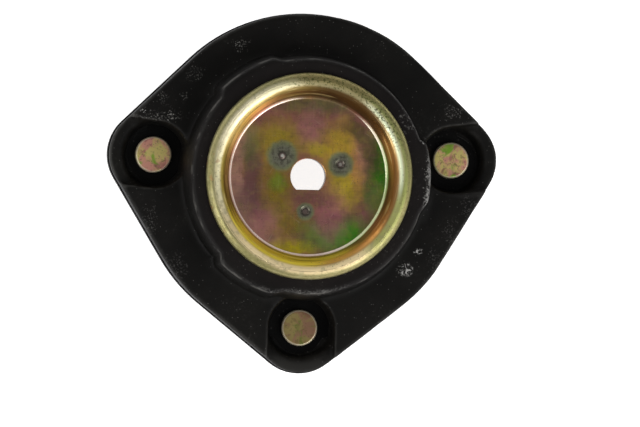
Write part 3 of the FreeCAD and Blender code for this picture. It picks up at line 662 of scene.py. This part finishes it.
def floor_film(make, flat, around):
    """The floor: mauve and tan clouds under stains that ran together before they dried."""
    mauve, pink, olive = (0.36, 0.125, 0.13, 1), (0.55, 0.22, 0.23, 1), (0.33, 0.235, 0.02, 1)
    yellow, plum = (0.66, 0.52, 0.02, 1), (0.19, 0.085, 0.08, 1)
    tone = cloudy(make, flat, 60.0, 0.36, 0.64, mauve, (0.36, 0.185, 0.07, 1))
    shake = make("ShaderNodeTexNoise", {"Vector": flat, "Scale": 330.0, "Detail": 5.0}).outputs["Color"]
    shake = vector_node(make, "SUBTRACT", shake, (0.5, 0.5, 0.5)).outputs[0]
    shaken = vector_node(make, "MULTIPLY_ADD", shake, (4 * MM, 4 * MM, 0), flat).outputs[0]
    run_out = vector_node(make, "LENGTH", shaken).outputs["Value"]
    # arcs where the bath ran out: colour, from and to which radius, direction and half its angle
    for colour, low, high, middle, half in (
        ((0.64, 0.34, 0.25, 1), 25.0, 29.0, 198, 44),
        ((0.18, 0.08, 0.08, 1), 18.6, 21.2, 196, 26),
        (plum, 17.5, 21.0, -46, 10),
    ):
        arc = times(make, band(make, run_out, low * MM, high * MM, 3.0 * MM),
                    sector(make, around, middle, half, 22))
        tone = paint_over(make, tone, colour, arc, 0.8)
    # stains: middle in millimetres, size, stretch, colour and strength
    for centre, size, stretch, colour, strength in (
        ((-10.8, -4.8, 0), 9.0, (1.5, 0.8, 1), olive, 0.9),
        ((-9.9, 12.6, 0), 8.5, (0.8, 1.3, 1), (0.50, 0.36, 0.03, 1), 0.9),
        ((11.9, 9.6, 0), 9.8, (1.0, 1.0, 1), (0.70, 0.45, 0.05, 1), 0.95),
        ((12.6, -3.1, 0), 8.4, (1.3, 0.8, 1), (0.62, 0.46, 0.03, 1), 0.95),
        ((17.4, 4.0, 0), 5.8, (1.7, 0.7, 1), (0.70, 0.36, 0.08, 1), 0.85),
        ((-5.5, -25.3, 0), 7.5, (0.8, 2.6, 1), yellow, 1.0),
        ((-9.0, -17.2, 0), 7.5, (1.0, 1.1, 1), olive, 0.8),
        ((26.6, 5.0, 0), 14.5, (2.2, 0.85, 1), (0.04, 0.24, 0.008, 1), 1.0),
        ((11.2, -20.6, 0), 9.4, (0.72, 1.35, 1), (0.045, 0.34, 0.008, 1), 1.0),
        ((22.7, -7.5, 0), 5.5, (1.6, 0.9, 1), (0.13, 0.20, 0.05, 1), 0.8),
        ((19.5, 10.1, 0), 6.0, (1.6, 0.6, 1), pink, 0.6),
        ((-15.5, -17.0, 0), 6.0, (1.0, 0.9, 1), pink, 0.7),
        ((7.8, -13.7, 0), 8.0, (1.2, 0.8, 1), (0.50, 0.155, 0.21, 1), 0.8),
        ((3.3, 25.1, 0), 7.0, (0.4, 2.2, 1), (0.15, 0.15, 0.06, 1), 0.8),
        ((-20.5, 10.0, 0), 5.5, (1.6, 0.7, 1), (0.17, 0.19, 0.08, 1), 0.7),
        ((-22.5, -10.0, 0), 6.0, (1.4, 0.7, 1), (0.22, 0.12, 0.11, 1), 0.6),
        ((0.7, -7.2, 0), 5.0, (0.6, 1.4, 1), (0.20, 0.085, 0.08, 1), 0.7),
        ((-10.9, -2.0, 0), 3.2, (1, 1, 1), (0.22, 0.33, 0.03, 1), 0.8),
        ((2.6, 10.0, 0), 3.2, (0.8, 1.3, 1), yellow, 0.7),
        ((0.5, 17.5, 0), 5.5, (1.0, 0.8, 1), (0.50, 0.19, 0.21, 1), 0.7),
    ):
        stain = patch(make, shaken, centre, size, stretch, 0.2, 170.0, 0.62)
        tone = paint_over(make, tone, colour, stain, strength)
    arc = times(make, band(make, run_out, 22.6 * MM, 25.0 * MM, 3.5 * MM), sector(make, around, 30, 14, 22))
    tone = paint_over(make, tone, (0.075, 0.07, 0.022, 1), arc, 0.75)
    # mottle, flecks of three colours, and fine scratches two ways
    mottle = clouds(make, flat, 260.0, 5.0, 0.6)
    tone = paint_over(make, tone, (0.13, 0.075, 0.055, 1), ramp(make, mottle, 0.42, 0.78), 0.45)
    for seed, grain, colour, strength in (
        (0.02, 420.0, (0.62, 0.48, 0.08, 1), 0.10),
        (0.05, 520.0, (0.34, 0.09, 0.13, 1), 0.14),
        (0.09, 360.0, (0.12, 0.24, 0.03, 1), 0.10),
    ):
        fleck = clouds(make, shifted(make, shaken, seed), grain, 7.0, 0.65)
        tone = paint_over(make, tone, colour, ramp(make, fleck, 0.46, 0.66), strength)
    for turn, grain in ((0.6, 900.0), (2.1, 1100.0)):
        turned = make("ShaderNodeVectorRotate", {"Vector": flat, "Axis": (0, 0, 1), "Angle": turn})
        drawn_out = vector_node(make, "MULTIPLY", turned.outputs[0], (0.05, 1, 1)).outputs[0]
        scratch = ramp(make, clouds(make, drawn_out, grain, 3.0), 0.69, 0.76)
        tone = paint_over(make, tone, (0.85, 0.74, 0.52, 1), scratch, 0.4)
    return tone


def weld_marks(make, flat, tone):
    """Grey burnt rings with a dark pit; the last number is how bright the pit's middle is."""
    soot = clouds(make, flat, 900.0, 4.0)
    for centre, size, middle in (
        ((-9.3, 7.1, 0), 6.2, 0.8),
        ((11.4, 4.4, 0), 5.2, 0.35),
        ((-0.8, -12.4, 0), 3.5, 0.0),
    ):
        disc = patch(make, flat, centre, size, (1, 1, 1), 0.12, 500.0, 0.18)
        tone = paint_over(make, tone, (0.25, 0.28, 0.14, 1), disc, 0.95)
        inner = patch(make, flat, centre, size * 0.78, (1, 1, 1), 0.25, 450.0)
        tone = paint_over(make, tone, (0.20, 0.195, 0.15, 1), inner, 0.85)
        scrawl = times(make, inner, ramp(make, soot, 0.47, 0.57))
        tone = paint_over(make, tone, (0.06, 0.06, 0.045, 1), scrawl, 0.6)
        ash = times(make, inner, ramp(make, soot, 0.36, 0.28))
        tone = paint_over(make, tone, (0.36, 0.36, 0.28, 1), ash, 0.8)
        for pit, colour, ragged, strength in (
            (1.9, (0.05, 0.04, 0.035, 1), 0.12, 0.9),
            (1.15, (0.20, 0.15, 0.13, 1), 0.12, 0.85),
            (0.7, (0.75, 0.74, 0.66, 1), 0.15, middle),
        ):
            if strength:
                spot = patch(make, flat, centre, pit, (1, 1, 1), ragged, 900.0)
                tone = paint_over(make, tone, colour, spot, strength)
    return tone


def wall_film_and_light(make, flat, radius, around, rings):
    """The wall: gold with drawing marks that run round it, and painted light and shade, lighter to the upper
    left and downwards, darker to the right and upwards.
    """
    wall = cloudy(make, flat, 60.0, 0.35, 0.65, (0.33, 0.19, 0.05, 1), (0.44, 0.30, 0.06, 1))
    # painted light and shade: the wall lighter or darker by its direction
    # direction, half the angle, colour and strength
    for middle, half, colour, strength in (
        (140, 30, (0.85, 0.62, 0.24, 1), 0.9),
        (190, 18, (0.42, 0.32, 0.05, 1), 0.85),
        (262, 46, (1.0, 0.78, 0.06, 1), 0.9),
        (-20, 30, (0.38, 0.17, 0.055, 1), 0.85),
        (92, 16, (0.22, 0.15, 0.04, 1), 0.8),
        (57, 20, (0.09, 0.045, 0.015, 1), 0.9),
    ):
        wall = paint_over(make, wall, colour, sector(make, around, middle, half, 22), strength)
    wall = paint_over(make, wall, (0.14, 0.075, 0.025, 1), ramp(make, rings, 0.50, 0.68), 0.65)
    wall = paint_over(make, wall, (0.85, 0.70, 0.34, 1), ramp(make, rings, 0.42, 0.32), 0.6)
    # painted light and shade on the wall's top: dark brown to the right, orange to the lower right
    for middle, half, colour in (
        (-12, 22, (0.20, 0.10, 0.03, 1)),
        (302, 14, (0.60, 0.28, 0.07, 1)),
    ):
        high = times(make, ramp(make, radius, 29.4 * MM, 30.6 * MM), sector(make, around, middle, half, 18))
        wall = paint_over(make, wall, colour, high, 0.75)
    return wall


def foot_line(make, radius):
    """The line where the floor meets the wall."""
    return band(make, radius, 27.5 * MM, 28.0 * MM, 0.25 * MM)


def foot_highlight_and_shade(make, radius, around, tone):
    """The pale line along the wall's foot, a painted highlight where the film is also rubbed dull, with a
    dark line of painted shade outside it.
    """
    line = foot_line(make, radius)
    for middle, half, colour, strength in (
        (245, 62, (1.0, 0.82, 0.74, 1), 1.0),
        (20, 16, (1.0, 0.90, 0.72, 1), 1.0),
        (-20, 30, (0.80, 0.90, 0.52, 1), 0.8),
        (150, 40, (1.0, 0.85, 0.74, 1), 1.0),
    ):
        stretch = times(make, line, sector(make, around, middle, half, 20))
        tone = paint_over(make, tone, colour, stretch, strength)
    # painted shade: a thin dark line just outside the pale one
    shade = band(make, radius, 28.5 * MM, 28.7 * MM, 0.2 * MM)
    return paint_over(make, tone, (0.10, 0.06, 0.03, 1), shade, 0.6)


def worn_through(make, radius, around):
    """Where the film is rubbed dull: on the wall and the rim in front, and along the foot's line."""
    wall = band(make, radius, 28.6 * MM, 31.0 * MM, 0.4 * MM)
    worn = times(make, wall, times(make, sector(make, around, 262, 42, 24), 0.4))
    line = foot_line(make, radius)
    for middle, half, strength in ((258, 26, 0.75), (312, 26, 1.0), (22, 10, 0.9), (200, 30, 0.12)):
        stretch = times(make, line, times(make, sector(make, around, middle, half, 14), strength))
        worn = math_node(make, "MAXIMUM", worn, stretch)
    rim = band(make, radius, 32.2 * MM, 33.4 * MM, 0.6 * MM)
    rim = times(make, rim, times(make, sector(make, around, 268, 36, 20), 0.45))
    return math_node(make, "MAXIMUM", worn, rim)


def crest_film_and_light(make, place, radius, around, rings):
    """The rim: pale gold on top, olive down its outside, with pits, smudges and rusty specks, a painted
    highlight streak to the right and partly painted shade upwards.
    """
    olive = (0.27, 0.245, 0.10, 1)
    crest = cloudy(make, place, 80.0, 0.35, 0.7, (0.90, 0.82, 0.56, 1), (0.82, 0.76, 0.48, 1))
    outer = ramp(make, radius, 33.4 * MM, 34.9 * MM)
    ridge = band(make, radius, 31.2 * MM, 32.6 * MM, 0.7 * MM)
    green_side = times(make, ramp(make, radius, 32.4 * MM, 34.0 * MM), sector(make, around, 42, 40, 30))
    left_side = times(make, ramp(make, radius, 33.0 * MM, 34.4 * MM), sector(make, around, 208, 30, 20))
    for colour, mask, strength in (
        ((0.97, 0.76, 0.42, 1), sector(make, around, 268, 50, 30), 0.85),
        ((0.30, 0.34, 0.08, 1), green_side, 0.85),
        ((0.40, 0.45, 0.11, 1), sector(make, around, -26, 16, 18), 0.8),
        (olive, ramp(make, radius, 33.7 * MM, 35.1 * MM), 0.92),
        (olive, left_side, 0.8),
        # partly painted shade: the rim darker olive-brown upwards, where its film is also rough
        ((0.27, 0.22, 0.09, 1), sector(make, around, 76, 14, 20), 0.85),
        # painted highlight: a pale green streak along the inner side of the rim's top, to the right
        ((0.85, 0.95, 0.66, 1), times(make, ridge, sector(make, around, 20, 22, 15)), 0.8),
        ((0.55, 0.45, 0.18, 1), ramp(make, rings, 0.5, 0.72), 0.35),
    ):
        crest = paint_over(make, crest, colour, mask, strength)
    rough_side = math_node(make, "MAXIMUM", sector(make, around, 62, 30, 22), times(make, outer, 0.45))
    pits = times(make, ramp(make, clouds(make, place, 1500.0, 3.0), 0.53, 0.63), rough_side)
    crest = paint_over(make, crest, (0.09, 0.10, 0.03, 1), pits, 0.85)
    smudge = clouds(make, place, 380.0, 5.0)
    grey = times(make, ramp(make, smudge, 0.50, 0.66), sector(make, around, 250, 80, 30))
    crest = paint_over(make, crest, (0.42, 0.38, 0.20, 1), grey, 0.55)
    rust = times(make, ramp(make, smudge, 0.42, 0.34), sector(make, around, 185, 22, 16))
    return paint_over(make, crest, (0.36, 0.13, 0.05, 1), rust, 0.35)


def pan_film_and_light(make, place):
    """The pan's film from its floor out to its rim, with its matt areas and its worn spots, and the painted
    light and shade on its wall, foot line, rim and hole.
    """
    flat, radius = off_axis(make, place)
    spot = make("ShaderNodeSeparateXYZ", {0: place}).outputs
    around = math_node(make, "ARCTAN2", spot["Y"], spot["X"])
    drawn = make("ShaderNodeCombineXYZ", {0: times(make, radius, 1500.0), 1: times(make, around, 1.8)})
    rings = clouds(make, drawn.outputs[0], 1.0, 3.0)
    tone = weld_marks(make, flat, floor_film(make, flat, around))
    for run, grain in (((0.07, 1.0, 1.0), 2100.0), ((1.0, 0.10, 1.0), 1500.0)):
        brushed = clouds(make, vector_node(make, "MULTIPLY", flat, run).outputs[0], grain, 4.0)
        tone = paint_over(make, tone, (0.10, 0.06, 0.05, 1), ramp(make, brushed, 0.5, 0.8), 0.2)
        tone = paint_over(make, tone, (0.80, 0.66, 0.45, 1), ramp(make, brushed, 0.44, 0.22), 0.08)
    wall = wall_film_and_light(make, flat, radius, around, rings)
    tone = paint_over(make, tone, wall, ramp(make, radius, 28.0 * MM, 28.5 * MM))
    tone = foot_highlight_and_shade(make, radius, around, tone)
    crest = crest_film_and_light(make, place, radius, around, rings)
    tone = paint_over(make, tone, crest, ramp(make, radius, 31.1 * MM, 32.3 * MM))
    tone = paint_over(make, tone, (0.10, 0.09, 0.06, 1), specks(make, place, 1100.0, 0.35, 80.0), 0.55)
    # painted shade: the rod hole's wall darkened below the floor
    below_floor = ramp(make, spot["Z"], -0.05 * MM, -0.3 * MM)
    hole_shade = times(make, ramp(make, radius, 6.8 * MM, 6.5 * MM), below_floor)
    tone = paint_over(make, tone, (0.04, 0.025, 0.02, 1), hole_shade, 0.9)
    matt = times(make, ramp(make, radius, 30 * MM, 33 * MM), 0.12)
    return tone, matt, worn_through(make, radius, around)


pan_mesh.materials.append(chromate("pan_chromate", pan_film_and_light, 0.24))
settle(pan, "lower_pan")


# Upper dish: the pan's partner behind it, pressed from the same sheet with the same plating, and
# held by the three welds. Only the wall of its rod hole shows from the front.
def dish_film_and_hole_shade(make, place):
    tone = cloudy(make, place, 50.0, 0.38, 0.62, (0.46, 0.33, 0.12, 1), (0.44, 0.22, 0.19, 1), 0.3)
    radius = off_axis(make, place)[1]
    # painted shade: the rod hole's wall darkened
    tone = paint_over(make, tone, (0.04, 0.025, 0.02, 1), ramp(make, radius, 6.8 * MM, 6.4 * MM), 0.9)
    green = make("ShaderNodeMapRange", {"Value": clouds(make, place, 75.0), "From Min": 0.56,
                                        "From Max": 0.68}).outputs["Result"]
    return paint_over(make, tone, (0.20, 0.30, 0.08, 1), green, 0.6), 0.0, 0.0


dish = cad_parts["upper_dish"]
dish.data.materials.clear()
dish.data.materials.append(chromate("dish_chromate", dish_film_and_hole_shade, 0.26))


# Studs: forged with a low round head, pressed through the plate, with a rolled thread on the
# car's side. The thread is a grid bent round the shank, with its height turned into a helix.
stud_head = 6.4 * MM
head_height = 2.4 * MM
stud_collar = 4.6 * MM
stud_thread = 4.0 * MM
thread_pitch = 1.25 * MM
thread_depth = 0.65 * MM
thread_tip = 1.0 * MM
stud_end, head_top = (corner.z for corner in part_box("stud_left"))
plate_top = head_top - head_height
plate_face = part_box("mounting_plate")[0].z
thread_sides = 64
thread_rows = 160

thread_tree = bpy.data.node_groups.new("rolled_thread", "GeometryNodeTree")
thread_tree.interface.new_socket("Geometry", in_out="OUTPUT", socket_type="NodeSocketGeometry")
thread_inputs = {"Radius": stud_thread, "Pitch": thread_pitch, "Depth": thread_depth,
                 "Top": plate_face, "End": stud_end, "Tip": thread_tip}
thread_sockets = {
    name: thread_tree.interface.new_socket(name, in_out="INPUT", socket_type="NodeSocketFloat")
    for name in thread_inputs
}
steel_socket = thread_tree.interface.new_socket("Metal", in_out="INPUT", socket_type="NodeSocketMaterial")
make = node_maker(thread_tree)
given = make("NodeGroupInput").outputs
grid = make("GeometryNodeMeshGrid", {"Size X": 1.0, "Size Y": 1.0, "Vertices X": thread_sides + 1,
                                     "Vertices Y": thread_rows + 1})
spot = make("ShaderNodeSeparateXYZ", {0: make("GeometryNodeInputPosition").outputs[0]}).outputs
angle = times(make, spot[0], 2 * math.pi)
share = math_node(make, "ADD", spot[1], 0.5)
length = math_node(make, "SUBTRACT", given["End"], given["Top"])
height = math_node(make, "ADD", given["Top"], times(make, share, length))
turns = math_node(make, "ADD", math_node(make, "DIVIDE", height, given["Pitch"]), spot[0])
phase = math_node(make, "FRACT", turns)
ridge = math_node(make, "ABSOLUTE", math_node(make, "SUBTRACT", times(make, phase, 2.0), 1.0))
groove = make("ShaderNodeMapRange", {"Value": ridge, "From Min": 0.12, "From Max": 0.9}).outputs["Result"]
cut = math_node(make, "SUBTRACT", given["Radius"], times(make, groove, given["Depth"]))
left_over = math_node(make, "SUBTRACT", height, given["End"])
cone = math_node(make, "ADD", math_node(make, "SUBTRACT", given["Radius"], given["Tip"]), left_over)
reach = math_node(make, "MINIMUM", cut, cone)
reach = times(make, reach, math_node(make, "GREATER_THAN", left_over, 1e-6))
bent = make("ShaderNodeCombineXYZ", {0: times(make, math_node(make, "COSINE", angle), reach),
                                     1: times(make, math_node(make, "SINE", angle), reach), 2: height})
moved = make("GeometryNodeSetPosition", {"Geometry": grid.outputs["Mesh"], "Position": bent.outputs[0]})
joined = make("GeometryNodeMergeByDistance", {"Geometry": moved.outputs[0], "Distance": 2e-6})
real = make("GeometryNodeRealizeInstances", {"Geometry": joined.outputs[0]})
dressed = make("GeometryNodeSetMaterial", {"Geometry": real.outputs[0], "Material": given["Metal"]})
make("NodeGroupOutput", {"Geometry": dressed.outputs[0]})


def stud_film_and_rim_light(make, place):
    """Mottled on the heads, duller on the lower one, with a pale line painted round each head's rim as its
    highlight, where the metal is also rubbed dull, and plainer below.
    """
    flat = off_axis(make, place)[0]
    height = make("ShaderNodeSeparateXYZ", {0: place}).outputs["Z"]
    on_head = math_node(make, "MULTIPLY_ADD", ramp(make, height, plate_face, plate_top), 0.7, 0.3)
    tone = cloudy(make, place, 210.0, 0.42, 0.58, (0.74, 0.36, 0.27, 1), (0.74, 0.62, 0.22, 1))
    tone = paint_over(make, tone, (0.76, 0.56, 0.22, 1), ramp(make, height, plate_top, plate_face), 0.7)
    for grain, seed, low, colour, strength in (
        (150.0, 0.03, 0.50, (0.20, 0.44, 0.03, 1), 0.9),
        (260.0, 0.07, 0.53, (0.42, 0.14, 0.15, 1), 0.75),
        (620.0, 0.11, 0.55, (0.22, 0.17, 0.06, 1), 0.6),
    ):
        drift = clouds(make, shifted(make, place, seed), grain, 4.0, distortion=0.8)
        spots = times(make, on_head, ramp(make, drift, low, low + 0.12))
        tone = paint_over(make, tone, colour, spots, strength)
    lower_stud = patch(make, place, (0, -53.4, -18), 14, ragged=0.1)
    tone = paint_over(make, tone, (0.16, 0.11, 0.045, 1), lower_stud, 0.72)
    # painted highlight: a pale line round each head's rim, which is also made less metallic as rubbed
    rim_highlights = 0.0
    for middle in stud_spots:
        away = vector_node(make, "DISTANCE", flat, (middle.x, middle.y, 0)).outputs["Value"]
        rim = band(make, away, stud_head - 0.45 * MM, stud_head, 0.3 * MM)
        rim_highlights = math_node(make, "MAXIMUM", rim_highlights, rim)
    tone = paint_over(make, tone, (0.62, 0.55, 0.40, 1), rim_highlights, 0.75)
    tone = paint_over(make, tone, (0.09, 0.08, 0.06, 1), specks(make, place, 1300.0, 0.6, 120.0), 0.6)
    return tone, 0.04, times(make, rim_highlights, 0.45)


stud_metal = chromate("stud_chromate", stud_film_and_rim_light, 0.3)
head_line = divided(rounded([
    (0, head_top), (stud_head, head_top, 0.7 * MM), (stud_head, plate_top), (stud_collar, plate_top),
    (stud_collar, plate_face, 0.2 * MM), (0, plate_face)]), 0.6 * MM)
circle = [(math.cos(a), math.sin(a)) for a in np.arange(thread_sides) * 2 * math.pi / thread_sides]
for stud_name, spot in zip(stud_names, stud_spots):
    stud = new_piece(stud_name + "_turned", bpy.data.meshes.new(stud_name + "_thread"))
    nodes = stud.modifiers.new("thread", "NODES")
    nodes.node_group = thread_tree
    for name, socket in thread_sockets.items():
        nodes[socket.identifier] = thread_inputs[name]
    nodes[steel_socket.identifier] = stud_metal
    thread_mesh = baked(stud)
    head_mesh = bpy.data.meshes.new(stud_name + "_head")
    head_mesh.from_pydata([(r * c, r * s, z) for r, z in head_line for c, s in circle], [],
                          ring_faces(len(head_line), thread_sides, False))
    faced_out(head_mesh)
    work = bmesh.new()
    work.from_mesh(thread_mesh)
    bmesh.ops.holes_fill(work, edges=[edge for edge in work.edges if edge.is_boundary])
    bmesh.ops.recalc_face_normals(work, faces=work.faces)
    work.from_mesh(head_mesh)
    bmesh.ops.translate(work, verts=work.verts, vec=(spot.x, spot.y, 0))
    work.to_mesh(thread_mesh)
    work.free()
    thread_mesh.shade_smooth()
    thread_mesh.materials.clear()
    thread_mesh.materials.append(stud_metal)
    settle(stud, stud_name)
